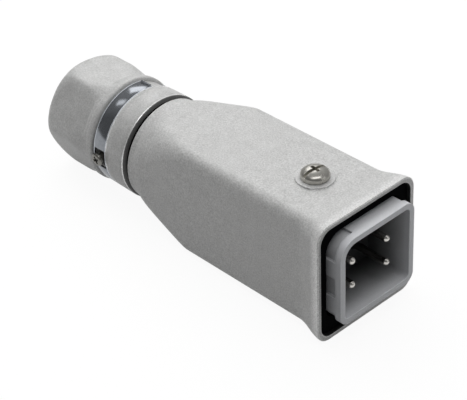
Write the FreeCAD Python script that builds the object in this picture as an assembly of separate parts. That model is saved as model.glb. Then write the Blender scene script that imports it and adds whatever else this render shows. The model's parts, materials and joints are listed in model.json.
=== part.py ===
import FreeCAD, Part
import math
import os

V = FreeCAD.Vector
AXIS = V(1, 0, 0)
ORIGIN = V(0, 0, 0)

# Frame: X runs out of the mating mouth, Z is up on the fixing-screw side.
# The origin is the middle of the mouth plane. All sizes are in mm.

# fits
thread_gap = 0.06
seat_gap = 0.05
loose_gap = 0.30

# die-cast hood
mouth_half = 14.0
mouth_corner = 3.4
flare_length = 7.5
flare_wall = 1.15
body_half_y = 12.05
body_half_z = 13.15
body_draft = 0.20
body_corner = 2.5
body_wall_y = 1.30
body_wall_z = 1.55
cavity_corner = 1.0
shoulder_start = -40.5
shoulder_end = -56.1
hood_rear = -57.4
thread_radius = 9.3
neck_wall = 2.25
neck_radius = thread_radius + neck_wall
stem_length = 7.8
cavity_back = -37.0
cavity_lip = 0.7
cavity_neck_radius = thread_radius - cavity_lip
boss_radius = 4.05
boss_height = 0.35
rim_break = 0.22

# fixing screw, M3
screw_x = -13.75
screw_radius = 1.5
screw_tip_reach = 0.23
screw_head_radius = 3.0
screw_head_height = 1.95
recess_width = 0.75
recess_depth = 1.0

# moulded insert
shroud_front = 3.0
shroud_side_room = 0.11
shroud_top_room = 1.05
shroud_bottom_room = 2.2
shroud_half_y = body_half_y - body_wall_y - shroud_side_room
shroud_top = body_half_z - body_wall_z - shroud_top_room
shroud_bottom = shroud_bottom_room + body_wall_z - body_half_z
shroud_wall = 1.3
shroud_corners = (2.6, 4.2, 2.2, 2.4)
rim_band = 1.6
wall_relief = 0.6
floor_x = -8.0
block_rear = -20.0
block_side_room = 0.65
block_top_room = 2.0
block_bottom_room = 2.3
block_half_y = body_half_y - body_wall_y - block_side_room
block_top = body_half_z - body_wall_z - block_top_room
block_bottom = block_bottom_room + body_wall_z - body_half_z
block_corner = 1.5
foot_width = 3.0
foot_place = 6.5
rear_plate_thickness = 1.5
top_pad = (-5.6, 8.6)
near_ribs = ((1.9, 5.8), (-6.8, -2.8))
far_rib = (-7.3, 6.5)
rib_reach = 2.6

# rubber frame in the mouth
seal_front = -0.9
seal_depth = 4.9

# contacts
pin_radius = 0.8
pin_tip_x = 1.4
earth_tip_x = -2.0
root_radius = 1.15
root_height = 0.3
pin_top_margin = 3.77
pin_pitch_radius = block_top - pin_top_margin
pin_angles = (30.0, 150.0, 210.0, 330.0)
earth_angle = 90.0
terminal_radius = 2.1
terminal_front = -11.0
wire_bore = 1.3
wire_bore_depth = 6.0
terminal_screw_x = -15.6
earth_screw_x = -18.1
terminal_screw_radius = 1.0
terminal_screw_head = 1.55

# earth bracket and its nut
bracket_thickness = 1.0
bracket_half_width = 3.4
bracket_nose = 3.2
nut_half = 2.75
nut_height = 1.8
screw_length = boss_height + body_wall_z + bracket_thickness + nut_height + screw_tip_reach + 0.07

# cable gland adaptor
ring_gap = 1.0
collar_step = 0.35
collar_taper = 0.13
collar_radius = neck_radius + collar_step
collar_rear_radius = collar_radius - collar_taper
collar_length = 5.9
collar_chamfer = 0.35
groove_length = 3.9
groove_depth = 0.6
groove_radius = collar_radius - groove_depth
stem_rear_length = 10.3
stem_wall = 2.1
cage_seat_wall = 1.55
adaptor_bore = thread_radius - stem_wall
cage_bore = thread_radius - cage_seat_wall
cage_bore_depth = 8.5

# split band with its small screw
band_thickness = 0.40
band_width = 3.65
band_start = 76.0
band_end = 398.0
band_lip = 0.35
window_from = 172.5
window_to = 195.5
window_width = 3.0
band_screw_angle = 184.0
band_screw_shift = -0.3
band_screw_radius = 1.0
band_screw_length = 3.0
band_screw_head = 1.5
band_screw_head_height = 0.9
cross_arm = 0.88
cross_half = 0.26
cross_depth = 0.5

# gland nut
nut_gap = 0.40
nut_length = 15.7
bead_wall = 2.75
bead_radius = thread_radius + bead_wall
bead_length = 1.9
bead_root = 0.4
taper_length = 6.5
corner_wall = 3.22
flat_wall = 1.85
hex_radius = thread_radius + corner_wall
hex_apothem = thread_radius + flat_wall
hex_angle = 147.0
dome_length = 4.8
dome_wall = 0.3
dome_radius = thread_radius + dome_wall
nut_wall_rear = 2.8
opening_wall = 2.8
cable_opening = thread_radius - opening_wall
nut_cavity = thread_radius - 0.4
thread_run = 10.4

# cable seal pack
cage_wall = 1.35
cage_ring_length = 7.4
finger_length = 3.1
finger_count = 12
finger_slot = 0.6
grommet_wall = 1.33
grommet_length = 9.7
thrust_ring_thickness = 0.7
thrust_ring_width = 2.0


def section(x, half_y, half_z, radii, shift_z=0.0):
    """Rounded rectangle across the X axis, corner radii from +Y +Z round to +Y -Z."""
    edges = []
    ends = []
    for k, (sy, sz) in enumerate(((1, 1), (-1, 1), (-1, -1), (1, -1))):
        r = min(radii[k], half_y - 0.01, half_z - 0.01)
        cy = sy * (half_y - r)
        cz = sz * (half_z - r) + shift_z
        marks = []
        for part in (0.0, 45.0, 90.0):
            a = math.radians(90.0 * k + part)
            marks.append(V(x, cy + r * math.cos(a), cz + r * math.sin(a)))
        edges.append(Part.Arc(marks[0], marks[1], marks[2]).toShape())
        ends.append((marks[0], marks[2]))
    ring = []
    for k in range(4):
        ring.append(edges[k])
        ring.append(Part.makeLine(ends[k][1], ends[(k + 1) % 4][0]))
    return Part.Wire(ring)


def even(radius):
    return (radius, radius, radius, radius)


def prism(wire, length):
    """Solid that runs from the wire along X."""
    return Part.Face(wire).extrude(V(length, 0, 0))


def rod(radius, x_from, x_to, y=0.0, z=0.0):
    """Round bar along X between two stations."""
    return Part.makeCylinder(radius, abs(x_to - x_from), V(min(x_from, x_to), y, z), AXIS)


def slab(x_from, x_to, y_from, y_to, z_from, z_to):
    """Box between two corners."""
    return Part.makeBox(x_to - x_from, y_to - y_from, z_to - z_from, V(x_from, y_from, z_from))


def turned(marks):
    """Solid of revolution round X. A mark of four numbers is an arc to its last pair."""
    edges = []
    here = V(marks[0][0], marks[0][1], 0)
    first = here
    for mark in marks[1:]:
        there = V(mark[-2], mark[-1], 0)
        if len(mark) == 4:
            edges.append(Part.Arc(here, V(mark[0], mark[1], 0), there).toShape())
        else:
            edges.append(Part.makeLine(here, there))
        here = there
    edges.append(Part.makeLine(here, first))
    face = Part.Face(Part.Wire(edges))
    return face.revolve(ORIGIN, AXIS, 360)


def turn(shape, degrees):
    """Copy of a shape turned about X."""
    copy = shape.copy()
    copy.rotate(ORIGIN, AXIS, degrees)
    return copy


def moved(shape, dx=0.0, dy=0.0, dz=0.0):
    copy = shape.copy()
    copy.translate(V(dx, dy, dz))
    return copy


def fused(shapes):
    body = shapes[0].fuse(shapes[1:]) if len(shapes) > 1 else shapes[0]
    return body.removeSplitter()


def save(name, shape):
    shape.exportStep("parts/" + name + ".step")


def ease(t):
    """Smooth step for the flare of the mouth."""
    return t * t * (3.0 - 2.0 * t)


def flare_half(x, side_half):
    """Outer half size at station x of the flared mouth."""
    t = ease(max(0.0, 1.0 + x / flare_length))
    return side_half + (mouth_half - side_half) * t


def flare_corner(x):
    t = ease(max(0.0, 1.0 + x / flare_length))
    return body_corner + (mouth_corner - body_corner) * t


def roof(x):
    """Height of the cavity's drafted roof at station x."""
    t = (x + flare_length - 0.4) / (cavity_back + flare_length - 0.4)
    return body_half_z - body_wall_z - body_draft * t


def make_hood():
    """Die-cast hood: square flared mouth, drafted body, shoulder and round neck."""
    stations = [-rim_break] + [-flare_length * k / 8.0 for k in range(1, 9)]
    outer = []
    inner = []
    for x in stations:
        fy = flare_half(x, body_half_y)
        fz = flare_half(x, body_half_z)
        fr = flare_corner(x)
        outer.append(section(x, fy, fz, even(fr)))
        inner.append(section(x, fy - flare_wall, fz - flare_wall, even(fr - 0.7)))
    rear_y = body_half_y - body_draft
    rear_z = body_half_z - body_draft
    flare = Part.makeLoft(outer, True, False)
    lip_y = flare_half(-rim_break, body_half_y)
    lip_z = flare_half(-rim_break, body_half_z)
    lip = Part.makeLoft([section(0.0, lip_y - rim_break, lip_z - rim_break, even(mouth_corner - rim_break)),
                         section(-rim_break, lip_y, lip_z, even(flare_corner(-rim_break)))], True, True)
    body_front = section(-flare_length, body_half_y, body_half_z, even(body_corner))
    body_back = section(shoulder_start, rear_y, rear_z, even(body_corner))
    body = Part.makeLoft([body_front, body_back], True, True)
    steps = []
    for t in (0.0, 0.06, 0.14, 0.26, 0.4, 0.55, 0.7, 0.8, 0.88, 0.95, 1.0):
        x = shoulder_start + (shoulder_end - shoulder_start) * t
        draw_in = ease(t ** 0.7)
        hy = rear_y + (neck_radius - rear_y) * draw_in
        hz = rear_z + (neck_radius - rear_z) * draw_in
        round_off = 0.75 * t ** 1.2 + 0.25 * t ** 8
        r = body_corner + (neck_radius - 0.01 - body_corner) * round_off
        steps.append(section(x, hy, hz, even(r)))
    shoulder = Part.makeLoft(steps, True, False)
    neck_wire = section(shoulder_end, neck_radius, neck_radius, even(neck_radius - 0.01))
    neck = prism(neck_wire, hood_rear - shoulder_end)
    solid = fused([lip, flare, body, shoulder, neck])
    boss = Part.makeCylinder(boss_radius, boss_height + 1.0, V(screw_x, 0, body_half_z - 1.0))
    solid = solid.fuse(boss)

    front = Part.makeLoft(inner, True, False)
    mouth_y = lip_y - flare_wall
    mouth_z = lip_z - flare_wall
    bevel = Part.makeLoft([section(0.0, mouth_y + rim_break, mouth_z + rim_break, even(mouth_corner - 0.7 + rim_break)),
                           section(-rim_break, mouth_y, mouth_z, even(flare_corner(-rim_break) - 0.7))], True, True)
    cav_y = body_half_y - body_wall_y
    cav_z = body_half_z - body_wall_z
    cavity_rear = cavity_back
    cavity_end = hood_rear + stem_length + 0.6
    middle_a = section(-flare_length + 0.4, cav_y, cav_z, even(cavity_corner))
    middle_b = section(cavity_rear, cav_y - body_draft, cav_z - body_draft, even(cavity_corner))
    middle = Part.makeLoft([middle_a, middle_b], True, True)
    hollow = []
    for k in range(5):
        t = k / 4.0
        x = cavity_rear + (cavity_end - cavity_rear) * t
        hy = cav_y - body_draft + (cavity_neck_radius - cav_y + body_draft) * t
        hz = cav_z - body_draft + (cavity_neck_radius - cav_z + body_draft) * t
        r = cavity_corner + (cavity_neck_radius - 0.01 - cavity_corner) * t
        hollow.append(section(x, hy, hz, even(r)))
    funnel = Part.makeLoft(hollow, True, True)
    bore = rod(thread_radius + thread_gap, cavity_end, hood_rear)
    hole = Part.makeCylinder(screw_radius + thread_gap, 6.0, V(screw_x, 0, cav_z - 2.0))
    for tool in (bevel, front, middle, funnel, bore, hole):
        solid = solid.cut(tool)
    return solid


def shroud_wire(x, inset):
    """Outline of the insert's shroud, drawn in from its outer size by inset."""
    half_z = (shroud_top - shroud_bottom) / 2.0 - inset
    shift = (shroud_top + shroud_bottom) / 2.0
    radii = tuple(max(0.4, r - inset) for r in shroud_corners)
    return section(x, shroud_half_y - inset, half_z, radii, shift)


def pin_place(degrees):
    a = math.radians(degrees)
    return pin_pitch_radius * math.cos(a), pin_pitch_radius * math.sin(a)


def screw_station(degrees):
    """Station along X of the terminal screw of a contact."""
    return earth_screw_x if degrees == earth_angle else terminal_screw_x


def screw_side(degrees):
    """Direction the terminal screw of a contact points out of the insert."""
    if degrees == earth_angle:
        return V(0, 0, 1)
    if math.cos(math.radians(degrees)) > 0:
        return V(0, 1, 0)
    return V(0, -1, 0)


def make_insert():
    """Moulded insert: shroud, floor, contact chambers, ribs and feet."""
    rim = prism(shroud_wire(shroud_front - rim_band, 0.0), rim_band)
    wall = prism(shroud_wire(floor_x - 2.0, wall_relief), shroud_front - rim_band - floor_x + 2.0)
    full = prism(shroud_wire(floor_x - 2.0, 0.0), shroud_front - 0.9 - floor_x + 2.0)
    rear = floor_x - 2.0
    side = shroud_half_y
    ribs = [full.common(slab(rear, shroud_front, top_pad[0], top_pad[1], shroud_top - rib_reach, shroud_top + 1.0))]
    for low, high in near_ribs:
        ribs.append(full.common(slab(rear, shroud_front, -side - 1.0, rib_reach - side, low, high)))
    ribs.append(full.common(slab(rear, shroud_front, side - rib_reach, side + 1.0, far_rib[0], far_rib[1])))
    half_z = (block_top - block_bottom) / 2.0
    shift = (block_top + block_bottom) / 2.0
    block_wire = section(block_rear, block_half_y, half_z, even(block_corner), shift)
    block = prism(block_wire, floor_x - block_rear - 1.0)
    solid = fused([rim, wall] + ribs + [block])
    pocket = prism(shroud_wire(floor_x, shroud_wall), shroud_front - floor_x + 1.0)
    solid = solid.cut(pocket)
    cav_z = body_half_z - body_wall_z - body_draft
    for y in (-foot_place, foot_place):
        foot = slab(block_rear, floor_x - 2.0, y - foot_width / 2.0, y + foot_width / 2.0,
                    -cav_z + seat_gap, block_bottom + 1.0)
        solid = solid.fuse(foot)
    for degrees in pin_angles + (earth_angle,):
        y, z = pin_place(degrees)
        solid = solid.cut(rod(root_radius + seat_gap, terminal_front - 1.0, floor_x + 1.0, y, z))
        solid = solid.cut(rod(terminal_radius + seat_gap, block_rear - 1.0, terminal_front, y, z))
        way = screw_side(degrees)
        start = V(screw_station(degrees), y, z)
        well = Part.makeCylinder(terminal_screw_head + loose_gap, 8.0, start, way)
        solid = solid.cut(well)
    return solid.removeSplitter()


def make_contact(degrees, tip_x):
    """Turned contact: pin with a domed tip, shoulder and screw terminal."""
    tip = pin_radius * 0.75
    core = turned([
        (tip_x, 0.0),
        (tip_x - tip * 0.293, pin_radius * 0.55, tip_x - tip, pin_radius),
        (floor_x + root_height, pin_radius),
        (floor_x + root_height, root_radius),
        (terminal_front - 0.01, root_radius),
        (terminal_front - 0.01, terminal_radius),
        (block_rear + 0.1, terminal_radius),
        (block_rear + 0.1, wire_bore),
        (block_rear + 0.1 + wire_bore_depth, wire_bore),
        (block_rear + 0.1 + wire_bore_depth, 0.0),
    ])
    middle = V(screw_station(degrees), 0, 0)
    hole = Part.makeCylinder(terminal_screw_radius + 0.03, 4.0, middle, screw_side(degrees))
    core = core.cut(hole)
    y, z = pin_place(degrees)
    return moved(core, 0, y, z)


def slotted_screw(radius, length, head_radius, head_height, slot):
    """Screw along Z with its head seat at the origin, shank downward."""
    shank = Part.makeCylinder(radius, length, V(0, 0, -length))
    head = Part.makeCylinder(head_radius, head_height)
    body = shank.fuse(head)
    groove = Part.makeBox(2.4 * head_radius, slot, head_height * 0.5,
                          V(-1.2 * head_radius, -slot / 2.0, head_height * 0.5))
    return body.cut(groove)


def make_terminal_screws():
    group = []
    for degrees in pin_angles + (earth_angle,):
        y, z = pin_place(degrees)
        screw = slotted_screw(terminal_screw_radius, 1.9, terminal_screw_head, 1.1, 0.4)
        way = screw_side(degrees)
        if way.y > 0:
            screw.rotate(ORIGIN, AXIS, -90)
        if way.y < 0:
            screw.rotate(ORIGIN, AXIS, 90)
        reach = terminal_radius + 0.06
        screw.translate(V(screw_station(degrees), y + way.y * reach, z + way.z * reach))
        group.append(screw)
    return Part.makeCompound(group)


def make_bracket_parts():
    """Steel earth bracket on top of the insert, and the square nut under it."""
    front = screw_x + bracket_nose
    rear = block_rear - rear_plate_thickness - 0.1
    top = roof(rear - bracket_thickness) - 0.02
    under = top - bracket_thickness
    strap = slab(rear - bracket_thickness, front, -bracket_half_width, bracket_half_width, under, top)
    y, z = pin_place(earth_angle)
    leg = slab(rear - bracket_thickness, rear, -bracket_half_width, bracket_half_width,
               z - terminal_radius - 1.0, under + 0.1)
    bracket = strap.fuse(leg)
    bracket = bracket.cut(rod(wire_bore + 0.3, rear - 3.0, rear + 1.0, y, z))
    bracket = bracket.cut(Part.makeCylinder(screw_radius + thread_gap, 4.0, V(screw_x, 0, under - 1.0)))
    nut = slab(screw_x - nut_half, screw_x + nut_half, -nut_half, nut_half, under - nut_height, under)
    nut = nut.cut(Part.makeCylinder(screw_radius + thread_gap, 6.0, V(screw_x, 0, under - 4.0)))
    return bracket.removeSplitter(), nut, under


def make_fixing_screw():
    """Pan head screw with a slot and a cross recess, through the top of the hood."""
    seat = body_half_z + boss_height
    shank = Part.makeCylinder(screw_radius, screw_length, V(screw_x, 0, seat - screw_length))
    head = Part.makeCylinder(screw_head_radius, screw_head_height, V(screw_x, 0, seat))
    rims = [e for e in head.Edges if e.BoundBox.ZMin > seat + 0.5 and e.BoundBox.XLength > 1.0]
    head = head.makeFillet(screw_head_height * 0.42, rims)
    body = shank.fuse(head)
    top = seat + screw_head_height
    long_slot = Part.makeBox(recess_width, 2.6 * screw_head_radius, recess_depth,
                             V(screw_x - recess_width / 2.0, -1.3 * screw_head_radius, top - recess_depth))
    short_slot = Part.makeBox(1.2 * screw_head_radius, recess_width, recess_depth,
                              V(screw_x - 0.6 * screw_head_radius, -recess_width / 2.0, top - recess_depth))
    slots = long_slot.fuse(short_slot)
    slots.rotate(V(screw_x, 0, 0), V(0, 0, 1), -8)
    return body.cut(slots)


def make_seal():
    """Rubber frame between the hood's mouth and the insert."""
    wires = []
    for k in range(7):
        x = seal_front - seal_depth * k / 6.0
        fy = flare_half(x, body_half_y) - flare_wall - 0.02
        fz = flare_half(x, body_half_z) - flare_wall - 0.02
        wires.append(section(x, fy, fz, even(flare_corner(x) - 0.7)))
    frame = Part.makeLoft(wires, True, False)
    return frame.cut(prism(shroud_wire(seal_front - seal_depth - 1.0, -0.02), seal_depth + 2.0))


def band_middle(collar_rear):
    """Station of the middle of the split band."""
    return collar_rear - seat_gap - band_width / 2.0


def make_adaptor():
    """Turned gland adaptor: front thread, collar, band groove, rear thread."""
    stem_front = hood_rear + stem_length
    face = hood_rear - ring_gap
    collar_rear = face - collar_length
    groove_rear = collar_rear - groove_length
    tail = groove_rear - stem_rear_length
    shape = turned([
        (stem_front, adaptor_bore),
        (stem_front, thread_radius - 0.5),
        (stem_front - 0.5, thread_radius),
        (face, thread_radius),
        (face, collar_radius - collar_chamfer),
        (face - collar_chamfer, collar_radius),
        (collar_rear, collar_rear_radius),
        (collar_rear, groove_radius),
        (groove_rear, groove_radius),
        (groove_rear, thread_radius),
        (tail + 0.4, thread_radius),
        (tail, thread_radius - 0.4),
        (tail, cage_bore),
        (tail + cage_bore_depth, cage_bore),
        (tail + cage_bore_depth, adaptor_bore),
    ])
    middle = (window_from + window_to) / 2.0
    span = math.radians((window_to - window_from) / 2.0) * groove_radius - 0.4
    x_mid = band_middle(collar_rear)
    well = slab(x_mid - window_width / 2.0, x_mid + window_width / 2.0,
                groove_radius - 0.9, groove_radius + 1.0, -span, span)
    shape = shape.cut(turn(well, middle))
    depth = band_screw_length - band_thickness
    drill = Part.makeCylinder(band_screw_radius + thread_gap, 6.0,
                              V(x_mid + band_screw_shift, groove_radius - depth, 0), V(0, 1, 0))
    shape = shape.cut(turn(drill, band_screw_angle))
    return shape, face, collar_rear, groove_rear, tail


def make_ring_seal():
    """Round rubber ring between the hood's neck and the collar."""
    middle = hood_rear - ring_gap / 2.0
    half = ring_gap / 2.0 - 0.01
    inner = thread_radius + 0.02
    outer = neck_radius - 0.35
    return turned([
        (middle + half, inner),
        (middle + half, outer - half),
        (middle, outer, middle - half, outer - half),
        (middle - half, inner),
    ])


def make_band(collar_rear):
    """Split sheet band in the groove, with its window and turned-up end."""
    inner = groove_radius + seat_gap
    outer = inner + band_thickness
    front = collar_rear - seat_gap
    rear = front - band_width
    ring = turned([(front, inner), (front, outer), (rear, outer), (rear, inner)])
    gap = 360.0 + band_start - band_end
    face = Part.Face(Part.makePolygon([
        V(front + 1.0, 0, 0), V(front + 1.0, 20.0, 0), V(rear - 1.0, 20.0, 0),
        V(rear - 1.0, 0, 0), V(front + 1.0, 0, 0)]))
    wedge = face.revolve(ORIGIN, AXIS, gap)
    ring = ring.cut(turn(wedge, band_end))
    lip = slab(rear + 0.4, front - 0.4, outer - 0.15, outer + band_lip, 0.0, 0.5)
    ring = ring.fuse(turn(lip, band_start))
    middle = (window_from + window_to) / 2.0
    span = math.radians((window_to - window_from) / 2.0) * outer
    x_mid = (front + rear) / 2.0
    window = slab(x_mid - window_width / 2.0, x_mid + window_width / 2.0, inner - 2.0, outer + 2.0, -span, span)
    ring = ring.cut(turn(window, middle))
    return ring


def make_band_screw(collar_rear):
    """Small round head screw with a cross recess, set radially in the adaptor."""
    x_mid = band_middle(collar_rear) + band_screw_shift
    seat = groove_radius + seat_gap + band_thickness + 0.01
    shank = Part.makeCylinder(band_screw_radius, band_screw_length, V(0, 0, -band_screw_length))
    head = Part.makeCylinder(band_screw_head, band_screw_head_height)
    rims = [e for e in head.Edges if e.BoundBox.ZMin > 0.5 and e.BoundBox.XLength > 1.0]
    head = head.makeFillet(band_screw_head_height * 0.5, rims)
    body = shank.fuse(head)
    for box in ((cross_arm, cross_half), (cross_half, cross_arm)):
        body = body.cut(Part.makeBox(2 * box[0], 2 * box[1], cross_depth + 0.1,
                                     V(-box[0], -box[1], band_screw_head_height - cross_depth)))
    body.rotate(ORIGIN, V(0, 0, 1), 25)
    body.rotate(ORIGIN, AXIS, -90)
    body.translate(V(x_mid, seat, 0))
    return turn(body, band_screw_angle)


def make_gland_nut(groove_rear):
    """Gland nut: round beaded front, six worn-round flats, open rear for the cable."""
    front = groove_rear - nut_gap
    rear = front - nut_length
    drop = hex_radius - dome_radius
    dome_x = rear + dome_length * (1.0 - math.sqrt(0.5))
    dome_r = dome_radius + drop * math.sqrt(0.5)
    bead_rear = front - bead_length
    outer = turned([
        (front, cable_opening),
        (front, bead_radius - 0.7),
        (front - 0.2, bead_radius - 0.2, front - 0.7, bead_radius),
        (bead_rear + 0.7, bead_radius),
        (bead_rear + 0.2, bead_radius - 0.15, bead_rear, bead_radius - bead_root - 0.1),
        (bead_rear - 0.4, bead_radius - bead_root),
        (bead_rear - taper_length, hex_radius),
        (rear + dome_length, hex_radius),
        (dome_x, dome_r, rear, dome_radius),
        (rear, cable_opening + 0.5),
        (rear + 0.5, cable_opening),
    ])
    flat = Part.Face(Part.makePolygon([
        V(rear - 1.0, hex_apothem, 0),
        V(bead_rear - 0.8, hex_apothem, 0),
        V(bead_rear - 0.3, hex_apothem + 0.2, 0),
        V(bead_rear, hex_apothem + 0.8, 0),
        V(bead_rear, 2.0 * hex_radius, 0),
        V(rear - 1.0, 2.0 * hex_radius, 0),
        V(rear - 1.0, hex_apothem, 0)]))
    cutter = flat.extrude(V(0, 0, 30.0))
    cutter.translate(V(0, 0, -15.0))
    for k in range(6):
        outer = outer.cut(turn(cutter, hex_angle + 60.0 * k))
    cavity_end = rear + nut_wall_rear
    hollow = turned([
        (front + 1.0, 0.0),
        (front + 1.0, thread_radius + thread_gap),
        (front - thread_run, thread_radius + thread_gap),
        (front - thread_run, nut_cavity),
        (cavity_end, nut_cavity),
        (cavity_end, 0.0),
    ])
    lead = turned([
        (front + 0.01, 0.0),
        (front + 0.01, thread_radius + 0.7),
        (front - 0.6, thread_radius),
        (front - 0.6, 0.0),
    ])
    return outer.cut(hollow).cut(lead), front, cavity_end


def make_cage(tail):
    """Plastic clamping cage: ring with a crown of fingers."""
    front = tail + cage_bore_depth - 0.02
    ring_end = front - cage_ring_length
    tip = ring_end - finger_length
    outer = cage_bore - seat_gap
    inner = outer - cage_wall
    shape = turned([
        (front, inner),
        (front, outer),
        (ring_end - 1.0, outer),
        (tip, outer - 0.7),
        (tip, inner),
    ])
    slot = slab(tip - 1.0, ring_end, inner - 1.0, outer + 1.0, -finger_slot / 2.0, finger_slot / 2.0)
    for k in range(finger_count):
        shape = shape.cut(turn(slot, k * 360.0 / finger_count))
    return shape, front, inner, tip


def make_grommet(front, cage_inner):
    """Rubber sealing sleeve inside the cage."""
    outer = cage_inner - 0.02
    grommet_bore = outer - grommet_wall
    rear = front - grommet_length
    return turned([
        (front, grommet_bore + 0.4),
        (front, outer - 0.3),
        (front - 0.3, outer),
        (rear + 0.3, outer),
        (rear, outer - 0.3),
        (rear, grommet_bore + 0.4),
        (rear + 0.4, grommet_bore),
        (front - 0.4, grommet_bore),
    ])


def make_thrust_ring(cavity_end):
    rear = cavity_end + seat_gap
    front = rear + thrust_ring_thickness
    outer = nut_cavity - loose_gap
    return turned([
        (rear, outer - thrust_ring_width),
        (rear, outer),
        (front, outer),
        (front, outer - thrust_ring_width),
    ])


def make_rear_plate():
    """Moulded plate that keeps the contacts in the insert."""
    rear = block_rear - rear_plate_thickness
    half_z = (block_top - block_bottom) / 2.0 - 0.5
    shift = (block_top + block_bottom) / 2.0
    plate = prism(section(rear, block_half_y - 0.5, half_z, even(block_corner), shift), rear_plate_thickness)
    for degrees in pin_angles + (earth_angle,):
        y, z = pin_place(degrees)
        plate = plate.cut(rod(wire_bore + 0.3, rear - 1.0, block_rear + 1.0, y, z))
    return plate


os.makedirs("parts", exist_ok=True)

insert = make_insert()
bracket, captive_nut, nut_roof = make_bracket_parts()
nest = slab(screw_x - nut_half - 0.05, screw_x + nut_half + 0.05, -nut_half - 0.05, nut_half + 0.05,
            nut_roof - nut_height - 0.02, shroud_top + 3.0)
tip_room = Part.makeCylinder(screw_radius + 0.4, 4.0, V(screw_x, 0, body_half_z + boss_height - screw_length - 0.4))
insert = insert.cut(nest).cut(tip_room)

save("hood", make_hood())
save("mouth_seal", make_seal())
save("insert_body", insert)
save("rear_plate", make_rear_plate())
for number, angle in enumerate(pin_angles):
    save("contact_pin_" + str(number + 1), make_contact(angle, pin_tip_x))
save("earth_pin", make_contact(earth_angle, earth_tip_x))
save("terminal_screws", make_terminal_screws())
save("earth_bracket", bracket)
save("captive_nut", captive_nut)
save("fixing_screw", make_fixing_screw())

adaptor, collar_face, collar_end, groove_end, tail_end = make_adaptor()
save("gland_adaptor", adaptor)
save("neck_seal", make_ring_seal())
save("split_band", make_band(collar_end))
save("band_screw", make_band_screw(collar_end))
gland_nut, nut_front, nut_floor = make_gland_nut(groove_end)
save("gland_nut", gland_nut)
cage, cage_front, cage_inner, cage_tip = make_cage(tail_end)
save("clamping_cage", cage)
save("sealing_grommet", make_grommet(cage_front, cage_inner))
save("thrust_ring", make_thrust_ring(nut_floor))
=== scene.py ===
import json
import math

import bmesh
import bpy
from mathutils import Matrix, Vector


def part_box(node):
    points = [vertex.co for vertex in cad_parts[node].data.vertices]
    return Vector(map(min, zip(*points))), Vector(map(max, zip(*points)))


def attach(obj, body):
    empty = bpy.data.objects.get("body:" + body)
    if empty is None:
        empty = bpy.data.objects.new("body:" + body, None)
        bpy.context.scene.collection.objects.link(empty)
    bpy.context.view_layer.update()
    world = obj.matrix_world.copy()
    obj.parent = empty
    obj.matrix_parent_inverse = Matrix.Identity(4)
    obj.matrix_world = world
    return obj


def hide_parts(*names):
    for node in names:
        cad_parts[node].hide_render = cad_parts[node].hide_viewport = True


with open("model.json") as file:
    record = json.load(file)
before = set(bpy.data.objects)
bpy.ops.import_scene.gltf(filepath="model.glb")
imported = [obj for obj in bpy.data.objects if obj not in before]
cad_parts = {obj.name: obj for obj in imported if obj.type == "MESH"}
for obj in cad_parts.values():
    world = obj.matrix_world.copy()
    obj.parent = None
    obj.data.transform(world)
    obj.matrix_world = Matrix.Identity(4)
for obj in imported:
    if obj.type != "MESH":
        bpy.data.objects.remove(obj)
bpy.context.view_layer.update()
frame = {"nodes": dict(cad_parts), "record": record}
nodes = frame["nodes"]

# Lengths are in metres, written as so many MM.
MM = 0.001


# Objects and meshes

def linked(name, data):
    """A new object in the scene."""
    obj = bpy.data.objects.new(name, data)
    bpy.context.scene.collection.objects.link(obj)
    return obj


def mesh_from(bm, name):
    mesh = bpy.data.meshes.new(name)
    bm.to_mesh(mesh)
    bm.free()
    return mesh


def bmesh_of(mesh, merge=None):
    """Working copy of a mesh; points nearer to each other than merge become one."""
    bm = bmesh.new()
    bm.from_mesh(mesh)
    if merge:
        bmesh.ops.remove_doubles(bm, verts=bm.verts, dist=merge)
    return bm


def modified_mesh(obj):
    """The object's mesh with its modifiers applied."""
    bpy.context.view_layer.update()
    graph = bpy.context.evaluated_depsgraph_get()
    return bpy.data.meshes.new_from_object(obj.evaluated_get(graph))


# Nodes of a material

NOISE_LOW, NOISE_HIGH = 0.3, 0.7
WHITE = (1.0, 1.0, 1.0, 1.0)


def add(tree, kind, inputs, **settings):
    """New node with its settings; an input that gets a socket is linked, any other keeps the value."""
    node = tree.nodes.new(kind)
    for key, value in settings.items():
        setattr(node, key, value)
    for key, value in inputs.items():
        if isinstance(value, bpy.types.NodeSocket):
            tree.links.new(value, node.inputs[key])
        else:
            node.inputs[key].default_value = value
    return node


def new_material(name):
    """Material with one shader linked to its output."""
    mat = bpy.data.materials.new(name)
    mat.use_nodes = True
    tree = mat.node_tree
    tree.nodes.clear()
    shader = tree.nodes.new("ShaderNodeBsdfPrincipled")
    add(tree, "ShaderNodeOutputMaterial", {"Surface": shader.outputs["BSDF"]})
    return mat, tree, shader


def noise(tree, coords, scale, detail, rough, stretch=None):
    """Noise over the coordinates; stretch scales their axes first."""
    if stretch:
        coords = add(tree, "ShaderNodeMapping", {"Scale": stretch, "Vector": coords}).outputs["Vector"]
    inputs = {"Scale": scale, "Detail": detail, "Roughness": rough, "Vector": coords}
    return add(tree, "ShaderNodeTexNoise", inputs).outputs["Fac"]


def ranged(tree, value, low, high, from_low=0.0, from_high=1.0):
    inputs = {"From Min": from_low, "From Max": from_high, "To Min": low, "To Max": high, "Value": value}
    return add(tree, "ShaderNodeMapRange", inputs).outputs["Result"]


def two_tone(tree, value, dark, light):
    node = add(tree, "ShaderNodeValToRGB", {"Fac": value})
    ends = node.color_ramp.elements
    ends[0].position = NOISE_LOW
    ends[1].position = NOISE_HIGH
    ends[0].color = (*dark, 1.0)
    ends[1].color = (*light, 1.0)
    return node.outputs["Color"]


def shade(color, factor):
    return tuple(min(1.0, c * factor) for c in color)


def axis_value(tree, coords, axis):
    return add(tree, "ShaderNodeSeparateXYZ", {0: coords}).outputs[axis]


def math_node(tree, operation, first, second):
    return add(tree, "ShaderNodeMath", {0: first, 1: second}, operation=operation).outputs[0]


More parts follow.
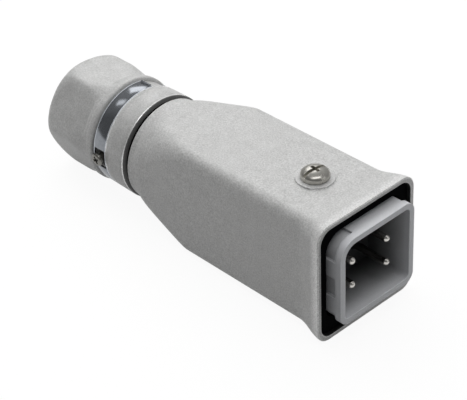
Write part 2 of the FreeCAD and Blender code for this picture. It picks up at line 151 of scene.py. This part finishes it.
def dot(tree, first, second):
    return add(tree, "ShaderNodeVectorMath", {0: first, 1: second}, operation="DOT_PRODUCT").outputs["Value"]


def times(tree, color, factor):
    """Colour scaled by a factor that changes over the surface."""
    return add(tree, "ShaderNodeVectorMath", {0: color, "Scale": factor}, operation="SCALE").outputs[0]


def surface_normal(tree):
    return tree.nodes.new("ShaderNodeNewGeometry").outputs["Normal"]


def bump(tree, height, normal, strength, depth):
    inputs = {"Strength": strength, "Distance": depth, "Height": height, "Normal": normal}
    return add(tree, "ShaderNodeBump", inputs).outputs["Normal"]


# Zones of a surface

def turned_edges(tree, soft_normal):
    """About 1 where the surface turns sharply within the edge radius, 0 on open faces."""
    sharp, open_face = 0.80, 0.99
    return ranged(tree, dot(tree, soft_normal, surface_normal(tree)), 1.0, 0.0, sharp, open_face)


def along_between(tree, coords, low, high):
    """1 between two stations along X, 0 outside them."""
    along = axis_value(tree, coords, "X")
    above = math_node(tree, "GREATER_THAN", along, low)
    below = math_node(tree, "LESS_THAN", along, high)
    return math_node(tree, "MULTIPLY", above, below)


def inward_between(tree, coords, low, high):
    """1 on walls that face the X axis between two stations, 0 elsewhere."""
    across = (0.0, 1.0, 1.0)
    least_radius = 5.0 * MM
    radial = add(tree, "ShaderNodeVectorMath", {0: coords, 1: across}, operation="MULTIPLY").outputs[0]
    facing = dot(tree, radial, surface_normal(tree))
    inward = math_node(tree, "LESS_THAN", facing, -least_radius)
    return math_node(tree, "MULTIPLY", inward, along_between(tree, coords, low, high))


def painted_rim_light(tree, coords, back, front, side_gain, top_gain, face_loss):
    """Painted light: a gain that grows from back to front on the walls of a rim, more on the sides than on
    top, with a little painted shade on its end face.
    """
    upright, wall_end, face_start = 0.8, 0.35, 0.85
    nearing = ranged(tree, axis_value(tree, coords, "X"), 0.0, 1.0, back, front)
    normal = surface_normal(tree)
    walls = ranged(tree, axis_value(tree, normal, "Z"), side_gain, top_gain, 0.0, upright)
    on_walls = ranged(tree, axis_value(tree, normal, "X"), 1.0, 0.0, wall_end, face_start)
    on_face = math_node(tree, "SUBTRACT", 1.0, on_walls)
    lift = math_node(tree, "SUBTRACT", math_node(tree, "MULTIPLY", walls, on_walls),
                     math_node(tree, "MULTIPLY", on_face, face_loss))
    return math_node(tree, "ADD", 1.0, math_node(tree, "MULTIPLY", nearing, lift))


def painted_depth_shade_share(tree, coords, deep, shallow, share, power):
    """Painted shade: the share of the colour that is left, all of it at the shallow station and the given
    share at the deep one.
    """
    rising = ranged(tree, axis_value(tree, coords, "X"), 0.0, 1.0, deep, shallow)
    return ranged(tree, math_node(tree, "POWER", rising, power), share, 1.0)


# Cast, moulded and machined surfaces

BARE_ROUGHNESS = 0.6
# Colour left under painted shade.
PAINTED_SHADE_SHARE = 0.22
# Colour left on the mouth walls that are painted near black.
DARKENED_WALL_SHARE = 0.02
EDGE_SAMPLES = 6
COARSE_STRENGTH = 0.5
LINES_STRENGTH = 0.4
LINES_STRETCH = (1.0, 0.02, 0.02)


def finish_material(name, base, metallic, rough, vary, rough_vary=0.05, blotch=220.0, spec=0.5,
                    grain=3000.0, grain_depth=0.01 * MM, grain_strength=0.25, grain_share=0.5,
                    coarse=None, coarse_depth=0.0, lines=None, lines_depth=0.0,
                    wear_and_highlight=0.0, edge_radius=0.2 * MM, edge_metallic=None, bare_and_highlight_cuts=(), painted_shade_zones=(),
                    rim=None, darkened_mouth_walls=None, painted_depth_shade=None):
    """Colour and roughness vary in patches, grain is bump, and worn edges and cut edges are brighter, partly
    from use and partly as a painted highlight.

    blotch, grain, coarse and lines are noise scales per metre. bare, recesses and darkened_mouth_walls are
    pairs of stations along X. recesses get painted shade, rim adds painted light near the mouth,
    darkened_mouth_walls paints inward walls near black and painted_depth_shade paints shade by depth.
    """
    mat, tree, shader = new_material(name)
    coords = tree.nodes.new("ShaderNodeTexCoord").outputs["Object"]
    patches = noise(tree, coords, blotch, detail=3.0, rough=0.55)
    fine = noise(tree, coords, grain, detail=3.0, rough=0.7)
    tone = add(tree, "ShaderNodeMix", {"Factor": grain_share, 2: patches, 3: fine}).outputs[0]
    color = two_tone(tree, tone, shade(base, 1.0 - vary), shade(base, 1.0 + vary))
    roughness = ranged(tree, patches, rough - rough_vary, rough + rough_vary, NOISE_LOW, NOISE_HIGH)
    soft = add(tree, "ShaderNodeBevel", {"Radius": edge_radius}, samples=EDGE_SAMPLES).outputs["Normal"]
    shader.inputs["Metallic"].default_value = metallic
    shader.inputs["Specular IOR Level"].default_value = spec
    # Edges and the given cut stations are brighter: partly worn, partly a painted highlight.
    if wear_and_highlight:
        bright = turned_edges(tree, soft)
        for low, high in bare_and_highlight_cuts:
            bright = math_node(tree, "MAXIMUM", bright, along_between(tree, coords, low, high))
        color = times(tree, color, ranged(tree, bright, 1.0, 1.0 + wear_and_highlight))
        roughness = math_node(tree, "MULTIPLY", roughness, ranged(tree, bright, 1.0, BARE_ROUGHNESS))
        if edge_metallic is not None:
            tree.links.new(ranged(tree, bright, metallic, edge_metallic), shader.inputs["Metallic"])
    # Painted shade: the colour is darkened between these stations, where a gap lies in shade.
    for low, high in painted_shade_zones:
        color = times(tree, color, ranged(tree, along_between(tree, coords, low, high), 1.0, PAINTED_SHADE_SHARE))
    # Painted light: walls near the mouth end are lightened, sides more than the top, and the end face is
    # painted a little darker.
    if rim:
        color = times(tree, color, painted_rim_light(tree, coords, **rim))
    # Walls that face inward near the mouth are painted near black.
    if darkened_mouth_walls:
        darkened_walls = inward_between(tree, coords, *darkened_mouth_walls)
        color = times(tree, color, ranged(tree, darkened_walls, 1.0, DARKENED_WALL_SHARE))
    # Painted shade: the colour darkens with depth along X.
    if painted_depth_shade:
        color = times(tree, color, painted_depth_shade_share(tree, coords, **painted_depth_shade))
    normal = bump(tree, fine, soft, grain_strength, grain_depth)
    if coarse:
        lumps = noise(tree, coords, coarse, detail=3.0, rough=0.6)
        normal = bump(tree, lumps, normal, COARSE_STRENGTH, coarse_depth)
    if lines:
        streaks = noise(tree, coords, lines, detail=2.0, rough=0.6, stretch=LINES_STRETCH)
        normal = bump(tree, streaks, normal, LINES_STRENGTH, lines_depth)
    tree.links.new(color, shader.inputs["Base Color"])
    tree.links.new(roughness, shader.inputs["Roughness"])
    tree.links.new(normal, shader.inputs["Normal"])
    return mat


COLLAR_FRONT, COLLAR_REAR = -58.70 * MM, -64.30 * MM
RECESS_FRONT = -58.00 * MM
band_low, band_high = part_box("split_band")

by_slot = {
    "die_cast": finish_material(
        "die_cast", (0.51, 0.51, 0.505), metallic=0.18, rough=0.46, vary=0.32, rough_vary=0.06,
        blotch=420.0, grain_depth=0.09 * MM, grain_strength=0.8, grain_share=0.80,
        coarse=800.0, coarse_depth=0.05 * MM,
        # Edges brighter, partly worn and partly a painted highlight.
        wear_and_highlight=0.95, edge_radius=0.42 * MM, edge_metallic=0.4,
        # Painted light near the mouth end: walls lightened, the end face a little darker.
        rim={"back": -2.6 * MM, "front": -0.3 * MM, "side_gain": 0.75, "top_gain": 0.28, "face_loss": 0.05},
        # The inward mouth walls are painted near black.
        darkened_mouth_walls=(-6.0 * MM, -0.08 * MM)),
    "turned_metal": finish_material(
        "turned_metal", (0.50, 0.50, 0.495), metallic=0.20, rough=0.44, vary=0.28, blotch=420.0,
        grain_depth=0.07 * MM, grain_strength=0.7, grain_share=0.75,
        # Edges and the collar's cut edges brighter, partly worn and partly a painted highlight.
        wear_and_highlight=0.95, edge_radius=0.3 * MM, edge_metallic=0.5,
        bare_and_highlight_cuts=((COLLAR_FRONT - 0.26 * MM, COLLAR_FRONT), (COLLAR_REAR - 0.02 * MM, COLLAR_REAR + 0.30 * MM)),
        # Painted shade in the gap ahead of the collar.
        painted_shade_zones=((COLLAR_FRONT, RECESS_FRONT),)),
    "black_rubber": finish_material(
        "black_rubber", (0.002, 0.002, 0.0024), metallic=0.0, rough=0.85, vary=0.3, spec=0.03,
        grain_depth=0.02 * MM, grain_strength=0.3),
    "grey_plastic": finish_material(
        "grey_plastic", (0.63, 0.64, 0.662), metallic=0.0, rough=0.45, vary=0.08, spec=0.35,
        # Edges brighter, partly worn and partly a painted highlight.
        grain_depth=0.015 * MM, grain_strength=0.3, wear_and_highlight=0.50, edge_radius=0.3 * MM,
        # Painted shade: darker deeper in the shroud.
        painted_depth_shade={"deep": -8.2 * MM, "shallow": 2.0 * MM, "share": 0.08, "power": 1.6}),
    "plated_contact": finish_material(
        "plated_contact", (0.70, 0.68, 0.64), metallic=1.0, rough=0.20, vary=0.06,
        grain=2600.0, grain_depth=0.006 * MM, grain_strength=0.2, lines=9000.0, lines_depth=0.006 * MM,
        # Painted shade: the pins darker deeper in the shroud.
        painted_depth_shade={"deep": -6.0 * MM, "shallow": 0.6 * MM, "share": 0.22, "power": 1.0}),
    "plated_steel": finish_material(
        "plated_steel", (0.45, 0.45, 0.44), metallic=1.0, rough=0.34, vary=0.08),
    "nickel_screw": finish_material(
        "nickel_screw", (0.54, 0.527, 0.488), metallic=1.0, rough=0.30, vary=0.18,
        # Edges brighter, partly worn and partly a painted highlight.
        grain=1600.0, grain_strength=0.3, wear_and_highlight=0.8, edge_radius=0.12 * MM, edge_metallic=0.6,
        # Painted shade: darker towards the rear, behind the collar front.
        painted_depth_shade={"deep": -60.0 * MM, "shallow": -55.0 * MM, "share": 0.42, "power": 1.0}),
    "bright_band": finish_material(
        "bright_band", (0.28, 0.295, 0.318), metallic=1.0, rough=0.16, vary=0.14, blotch=260.0,
        grain=1500.0, grain_depth=0.012 * MM, grain_strength=0.3, lines=7000.0, lines_depth=0.004 * MM,
        # Sheet edges brighter, partly polished and partly a painted highlight.
        wear_and_highlight=1.6, edge_radius=0.16 * MM, edge_metallic=0.4,
        bare_and_highlight_cuts=((band_high.x - 0.20 * MM, band_high.x + 0.10 * MM),
              (band_low.x - 0.01 * MM, band_low.x + 0.22 * MM))),
    "cage_plastic": finish_material(
        "cage_plastic", (0.52, 0.52, 0.49), metallic=0.0, rough=0.45, vary=0.05, grain_depth=0.012 * MM),
}
slot_of = {part["node"]: part["material_slot"] for part in frame["record"]["subparts"]}
for node_name, slot_name in slot_of.items():
    for slot in nodes[node_name].material_slots:
        slot.material = by_slot[slot_name]


# Shapes shared by the new pieces

PITCH = 1.5 * MM
THREAD_DEPTH = 0.72 * MM
ROWS_PER_TURN = 14


def eased(t):
    """Smooth step from 0 to 1."""
    t = max(0.0, min(1.0, t))
    return t * t * (3.0 - 2.0 * t)


def soft_min(a, b, width):
    """The smaller of two values, rounded over where they are about the same."""
    share = max(0.0, min(1.0, 0.5 + 0.5 * (b - a) / width))
    return b + (a - b) * share - width * share * (1.0 - share)


def groove_share(x, angle):
    """Depth share of the right-hand thread: 0 on a crest, 1 in the root."""
    groove, slope = 0.86, 0.62
    phase = (x / PITCH - angle / (2.0 * math.pi)) % 1.0
    rise = abs(phase - 0.5) * 2.0
    return max(0.0, min(1.0, (groove - rise) / slope))


def full_turn(count):
    return [2.0 * math.pi * k / count for k in range(count)]


def around_x(x, r, angle):
    return (x, r * math.cos(angle), r * math.sin(angle))


def around_z(z, r, angle):
    return (r * math.cos(angle), r * math.sin(angle), z)


def plain_radius(r):
    return lambda angle: r


def threaded_rows(start, end, steps, radius, depth, start_fade, end_fade):
    """Rows of a threaded wall; the thread fades in and out over the given lengths."""
    rows = []
    for k in range(steps + 1):
        x = start + (end - start) * k / steps
        fade = eased(abs(x - start) / start_fade) * eased(abs(end - x) / end_fade)
        rows.append((x, lambda a, x=x, fade=fade: radius - depth * fade * groove_share(x, a)))
    return rows


def lathe(bm, rows, angles, place=around_x, closed=False):
    """Rings of points joined into faces; a row is a station and the radius as a function of the angle."""
    rings = [[bm.verts.new(place(station, radius(angle), angle)) for angle in angles]
             for station, radius in rows]
    pairs = list(zip(rings, rings[1:]))
    if closed:
        pairs.append((rings[-1], rings[0]))
    count = len(angles)
    for first, second in pairs:
        for k in range(count):
            n = (k + 1) % count
            bm.faces.new((first[k], first[n], second[n], second[k]))
    return rings


def finish_piece(bm, name, body, replaced, sharp):
    """Object from the mesh: smooth but for edges over the sharp angle, in the material of its node."""
    bmesh.ops.recalc_face_normals(bm, faces=bm.faces)
    mesh = mesh_from(bm, name)
    for face in mesh.polygons:
        face.use_smooth = True
    mesh.set_sharp_from_angle(angle=math.radians(sharp))
    mesh.materials.append(by_slot[slot_of[replaced]])
    piece = linked(name, mesh)
    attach(piece, body)
    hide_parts(replaced)


# Adaptor: the plain rear stem becomes a threaded one

def threaded_adaptor():
    stem_radius, rear_chamfer = 9.3 * MM, 0.4 * MM
    stem_from = -68.2 * MM
    stem_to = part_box("gland_adaptor")[0].x + rear_chamfer
    touch, end_touch, seam = 0.02 * MM, 0.05 * MM, 0.003 * MM
    steepest = 0.3

    def on_stem(vert):
        return (abs(math.hypot(vert.co.y, vert.co.z) - stem_radius) < touch
                and stem_to - touch < vert.co.x < stem_from + touch)

    def angle_of(vert):
        return math.atan2(vert.co.z, vert.co.y)

    bm = bmesh_of(nodes["gland_adaptor"].data, merge=0.001 * MM)
    skin = [f for f in bm.faces if all(on_stem(v) for v in f.verts) and abs(f.normal.x) < steepest]
    bmesh.ops.delete(bm, geom=skin, context="FACES")
    open_points = {v for e in bm.edges if e.is_boundary for v in e.verts}
    angles = sorted(angle_of(v) for v in open_points if abs(v.co.x - stem_from) < end_touch)
    steps = ROWS_PER_TURN * int(round((stem_from - stem_to) / PITCH))
    rows = threaded_rows(stem_from, stem_to, steps, stem_radius, THREAD_DEPTH,
                         start_fade=1.1 * MM, end_fade=0.7 * MM)
    lathe(bm, rows, angles)
    bmesh.ops.remove_doubles(bm, verts=[v for v in bm.verts if on_stem(v)], dist=seam)
    finish_piece(bm, "adaptor_threaded", "connector", "gland_adaptor", sharp=38.0)


# Split band: its sheet edges are broken, so they catch the light

def softened_band():
    flat, corner = math.radians(0.5), math.radians(35.0)
    bm = bmesh_of(nodes["split_band"].data, merge=0.001 * MM)
    bmesh.ops.dissolve_limit(bm, angle_limit=flat, verts=bm.verts, edges=bm.edges)
    draft = linked("band_draft", mesh_from(bm, "band_draft"))
    soft = draft.modifiers.new("soft", "BEVEL")
    soft.width = 0.10 * MM
    soft.segments = 2
    soft.limit_method = "ANGLE"
    soft.angle_limit = corner
    made = modified_mesh(draft)
    bpy.data.objects.remove(draft)
    finish_piece(bmesh_of(made), "band_soft", "connector", "split_band", sharp=50.0)


# Fixing screw: domed head with a long slot and a short cross arm

def screw_blank(low_z, high_z):
    """Shank and head round the Z axis, with no slots."""
    head_radius, under_radius = 3.0 * MM, 2.8 * MM
    shank_radius, tip_radius = 1.5 * MM, 1.2 * MM
    tip_chamfer, under_chamfer = 0.3 * MM, 0.12 * MM
    side_height, dome_height = 0.75 * MM, 1.20 * MM
    round_power, rise_power = 0.72, 1.12
    points_around, dome_rings = 96, 24
    seat = high_z - side_height - dome_height
    profile = [(low_z, tip_radius), (low_z + tip_chamfer, shank_radius), (seat, shank_radius),
               (seat, under_radius), (seat + under_chamfer, head_radius), (seat + side_height, head_radius)]
    for k in range(1, dome_rings):
        t = math.pi / 2.0 * k / dome_rings
        profile.append((seat + side_height + dome_height * math.sin(t) ** rise_power,
                        head_radius * math.cos(t) ** round_power))
    bm = bmesh.new()
    angles = full_turn(points_around)
    rings = lathe(bm, [(z, plain_radius(r)) for z, r in profile], angles, around_z)
    low_point = bm.verts.new((0.0, 0.0, low_z))
    top_point = bm.verts.new((0.0, 0.0, seat + side_height + dome_height))
    for k in range(len(angles)):
        n = (k + 1) % len(angles)
        bm.faces.new((low_point, rings[0][n], rings[0][k]))
        bm.faces.new((top_point, rings[-1][k], rings[-1][n]))
    bmesh.ops.recalc_face_normals(bm, faces=bm.faces)
    return linked("screw_draft", mesh_from(bm, "screw_draft"))


def slot_cutter(half_x, half_y, top_z):
    """Box through the top of a head, a little narrower at its foot than at the top of the slot."""
    foot, clear, depth = 0.82, 0.4 * MM, 1.0 * MM
    bm = bmesh.new()
    bmesh.ops.create_cube(bm, size=2.0)
    for vert in bm.verts:
        above = vert.co.z > 0
        flare = 1.0 if above else foot
        vert.co = Vector((vert.co.x * half_x * (flare if half_x < half_y else 1.0),
                          vert.co.y * half_y * (flare if half_y < half_x else 1.0),
                          top_z + (clear if above else -depth)))
    return linked("slot_cutter", mesh_from(bm, "slot_cutter"))


def domed_screw():
    low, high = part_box("fixing_screw")
    turn = math.radians(-7.0)
    long_slot, cross_arm = (0.42 * MM, 3.6 * MM), (1.20 * MM, 0.38 * MM)
    draft = screw_blank(low.z, high.z)
    cutters = [slot_cutter(half_x, half_y, high.z) for half_x, half_y in (long_slot, cross_arm)]
    for cutter in cutters:
        cut = draft.modifiers.new("slot", "BOOLEAN")
        cut.operation = "DIFFERENCE"
        cut.solver = "EXACT"
        cut.object = cutter
    made = modified_mesh(draft)
    for obj in [draft] + cutters:
        bpy.data.objects.remove(obj)
    middle_x = (low.x + high.x) / 2.0
    made.transform(Matrix.Translation((middle_x, 0.0, 0.0)) @ Matrix.Rotation(turn, 4, "Z"))
    bm = bmesh_of(made, merge=0.002 * MM)
    bmesh.ops.dissolve_degenerate(bm, edges=bm.edges, dist=0.001 * MM)
    finish_piece(bm, "screw_domed", "connector", "fixing_screw", sharp=35.0)


# Gland nut: a casting, so its flats, corners, bead and dome run softly into each other

nut_low, nut_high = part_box("gland_nut")
nut_front, nut_rear = nut_high.x, nut_low.x
HEX_RADIUS, HEX_APOTHEM, BEAD_RADIUS = 12.68 * MM, 11.15 * MM, 12.05 * MM
HEX_TURN = math.radians(147.0)
BEAD_LENGTH = 1.9 * MM
DOME_LENGTH = 4.8 * MM
bead_back = nut_front - BEAD_LENGTH


def nut_profile(x):
    """Outer radius of the nut before its flats."""
    bead_drop, waist_drop, dome_end = 0.62 * MM, 0.45 * MM, 9.6 * MM
    bead_power, bead_fullness = 4, 0.6
    waist_length, swell_length = 0.2 * MM, 5.2 * MM
    ahead = nut_front - x
    behind = x - nut_rear
    if ahead < BEAD_LENGTH:
        half = BEAD_LENGTH / 2.0
        bulge = max(0.0, 1.0 - ((ahead - half) / half) ** bead_power)
        return BEAD_RADIUS - bead_drop * (1.0 - bulge ** bead_fullness)
    waist = BEAD_RADIUS - waist_drop
    r = waist + (HEX_RADIUS - waist) * eased((ahead - BEAD_LENGTH - waist_length) / swell_length)
    if behind < DOME_LENGTH:
        t = 1.0 - behind / DOME_LENGTH
        r -= (HEX_RADIUS - dome_end) * (1.0 - math.sqrt(max(0.0, 1.0 - t * t)))
    return r


def nut_outside(x):
    """Radius as a function of the angle: six flats that rise out of the round shape near the bead."""
    corner_width = 0.85 * MM
    rise_start, rise_length, rise = bead_back - 1.3 * MM, 1.5 * MM, 2.0 * MM
    sixth = math.pi / 3.0
    ring = nut_profile(x)
    lift = eased((x - rise_start) / rise_length) * rise

    def radius(angle):
        local = (angle - HEX_TURN + sixth / 2.0) % sixth - sixth / 2.0
        flat = (HEX_APOTHEM + lift) / math.cos(local)
        return soft_min(ring, flat, corner_width)
    return radius


def nut_stations():
    """Stations along the outside: over the bead, along the flats, round the dome."""
    bead_rows, flat_rows, dome_rows = 14, 34, 16
    step_in = 0.02 * MM
    flats_start = bead_back - 0.1 * MM
    flats_length = flats_start - nut_rear - DOME_LENGTH
    stations = [nut_front - step_in - (BEAD_LENGTH - step_in) * k / bead_rows for k in range(bead_rows + 1)]
    stations += [flats_start - flats_length * (k / flat_rows) for k in range(flat_rows + 1)]
    stations += [nut_rear + DOME_LENGTH * math.cos(math.pi / 2.0 * k / dome_rows)
                 for k in range(1, dome_rows + 1)]
    return stations


def cast_nut():
    points_around, inner_turns, thread_play = 132, 7, 0.05 * MM
    cavity_end = nut_rear + 2.8 * MM
    thread_end, thread_start = nut_front - 10.4 * MM, nut_front - 0.66 * MM
    front_face = ((nut_front, 10.02 * MM), (nut_front, 11.2 * MM))
    bore_radius, cavity_radius, entry_radius = 9.36 * MM, 8.9 * MM, 6.5 * MM
    inside = ((nut_rear, 7.0 * MM), (nut_rear + 0.15 * MM, 6.65 * MM), (nut_rear + 0.5 * MM, entry_radius),
              (cavity_end, entry_radius), (cavity_end, cavity_radius), (thread_end, cavity_radius))
    rows = [(x, plain_radius(r)) for x, r in front_face]
    rows += [(x, nut_outside(x)) for x in nut_stations()]
    rows += [(x, plain_radius(r)) for x, r in inside]
    rows += threaded_rows(thread_end, thread_start, ROWS_PER_TURN * inner_turns, bore_radius,
                          THREAD_DEPTH - thread_play, start_fade=0.8 * MM, end_fade=0.9 * MM)
    bm = bmesh.new()
    lathe(bm, rows, full_turn(points_around), closed=True)
    finish_piece(bm, "nut_cast", "nut", "gland_nut", sharp=50.0)


threaded_adaptor()
softened_band()
domed_screw()
cast_nut()


# Lamps

PART_MIDDLE = Vector((-38.0 * MM, 0.0, 0.0))


def area_lamp(name, place, size, radiance, mirrored=True):
    """Rectangular lamp aimed at the part; one that isn't mirrored adds no highlight of its own."""
    data = bpy.data.lights.new(name, "AREA")
    data.shape = "RECTANGLE"
    data.size, data.size_y = size
    data.energy = radiance * math.pi * size[0] * size[1]
    lamp = linked(name, data)
    lamp.location = place
    lamp.rotation_euler = (PART_MIDDLE - Vector(place)).to_track_quat("-Z", "Y").to_euler()
    lamp.visible_glossy = mirrored


area_lamp("softbox_top", (-0.26, 0.20, 0.50), (0.8, 0.8), 1.86, mirrored=False)
area_lamp("window_back", (-0.392, 0.294, 0.378), (0.22, 0.22), 2.0)
area_lamp("window_mid", (-0.395, -0.070, 0.500), (0.12, 0.20), 1.4)
area_lamp("strip_overhead", (0.13, -0.09, 0.60), (0.50, 0.22), 2.2)
area_lamp("softbox_side", (0.50, 0.22, 0.30), (0.35, 0.35), 0.6)
area_lamp("softbox_left", (-0.392, -0.336, 0.348), (0.22, 0.30), 1.1, mirrored=False)


# Room: brighter overhead and behind the part, as from one large soft window, and white to the camera

def background(tree, strength):
    return add(tree, "ShaderNodeBackground", {"Color": WHITE, "Strength": strength}).outputs[0]


def mix_shaders(tree, share, first, second):
    return add(tree, "ShaderNodeMixShader", {"Fac": share, 1: first, 2: second}).outputs[0]


def light_room():
    window_way = (-0.36, 0.62, 0.70)
    dim, lit = 0.15, 0.42
    dim_mirrored, mirror_start, mirror_end = 0.16, 0.25, 0.95
    world = bpy.data.worlds.new("studio")
    bpy.context.scene.world = world
    world.use_nodes = True
    tree = world.node_tree
    tree.nodes.clear()
    path = tree.nodes.new("ShaderNodeLightPath").outputs
    lean = dot(tree, tree.nodes.new("ShaderNodeTexCoord").outputs["Generated"], window_way)
    plain = background(tree, ranged(tree, lean, dim, lit))
    mirrored = background(tree, ranged(tree, lean, dim_mirrored, lit, mirror_start, mirror_end))
    room = mix_shaders(tree, path["Is Glossy Ray"], plain, mirrored)
    shown = math_node(tree, "MAXIMUM", path["Is Camera Ray"], path["Is Transmission Ray"])
    add(tree, "ShaderNodeOutputWorld", {"Surface": mix_shaders(tree, shown, room, background(tree, 1.0))})


# Floor: it touches the bead of the nut and the lowest part of the mouth

def floor_material():
    """Pale floor that looks white in the picture and throws less light up at the part."""
    albedo, albedo_shown, albedo_cut = 0.34, 0.96, 0.50
    glow_shown, glow_cut = 0.93, 0.30
    mat, tree, shader = new_material("floor_white")
    shader.inputs["Roughness"].default_value = 0.9
    shader.inputs["Specular IOR Level"].default_value = 0.1
    path = tree.nodes.new("ShaderNodeLightPath").outputs
    glossy = path["Is Glossy Ray"]
    shown = math_node(tree, "MAXIMUM", path["Is Camera Ray"], glossy)
    shown = math_node(tree, "MAXIMUM", shown, path["Is Transmission Ray"])
    grey = math_node(tree, "SUBTRACT", ranged(tree, shown, albedo, albedo_shown),
                     math_node(tree, "MULTIPLY", glossy, albedo_cut))
    color = add(tree, "ShaderNodeCombineXYZ", {0: grey, 1: grey, 2: grey}).outputs[0]
    tree.links.new(color, shader.inputs["Base Color"])
    share = math_node(tree, "SUBTRACT", math_node(tree, "MULTIPLY", shown, glow_shown),
                      math_node(tree, "MULTIPLY", glossy, glow_cut))
    glow = add(tree, "ShaderNodeEmission", {"Strength": 1.0}).outputs[0]
    surface = tree.get_output_node("ALL").inputs["Surface"]
    tree.links.new(mix_shaders(tree, share, shader.outputs["BSDF"], glow), surface)
    return mat


def lay_floor():
    half_size, mouth_part, bead_touch = 3.0, -30.0 * MM, 1.2 * MM
    bead_x = nut_front - bead_touch
    hood = nodes["hood"]
    points = [hood.matrix_world @ p.co for p in hood.data.vertices]
    slope = min((p.z - nut_low.z) / (p.x - bead_x) for p in points if p.x > mouth_part)
    bm = bmesh.new()
    bmesh.ops.create_grid(bm, x_segments=2, y_segments=2, size=half_size)
    floor = linked("floor", mesh_from(bm, "floor"))
    floor.rotation_euler = (0.0, -math.atan(slope), 0.0)
    floor.location = (bead_x, 0.0, nut_low.z)
    floor.data.materials.append(floor_material())


# Camera: fitted to the photograph's mouth edges and the two edges of the collar

def place_camera():
    """Angles are in radians, and shifts and distance in widths of the mouth."""
    elevation, swing, roll = 0.6231584, 0.8143528, 0.0396304
    shift_right, shift_up, distance = 0.9367867, -0.4208361, 14.0911448
    mouth = 28.0 * MM
    photo_width, focal_length = 467.0, 2000.0
    ce, se = math.cos(elevation), math.sin(elevation)
    ct, st = math.cos(swing), math.sin(swing)
    cr, sr = math.cos(roll), math.sin(roll)
    rolled = Matrix(((cr, -sr, 0), (sr, cr, 0), (0, 0, 1)))
    level = Matrix(((ct, st, 0), (-st * se, ct * se, ce), (st * ce, -ct * ce, se)))
    turn_to_world = (rolled @ level).transposed()
    place = turn_to_world @ Vector((-shift_right, -shift_up, distance)) * mouth
    data = bpy.data.cameras.new("camera")
    data.sensor_width = 36.0
    data.lens = data.sensor_width * focal_length / photo_width
    data.clip_start = 0.01
    data.clip_end = 20.0
    camera = linked("camera", data)
    camera.matrix_world = Matrix.Translation(place) @ turn_to_world.to_4x4()
    bpy.context.scene.camera = camera


light_room()
lay_floor()
place_camera()
bpy.context.scene.view_settings.view_transform = "Standard"
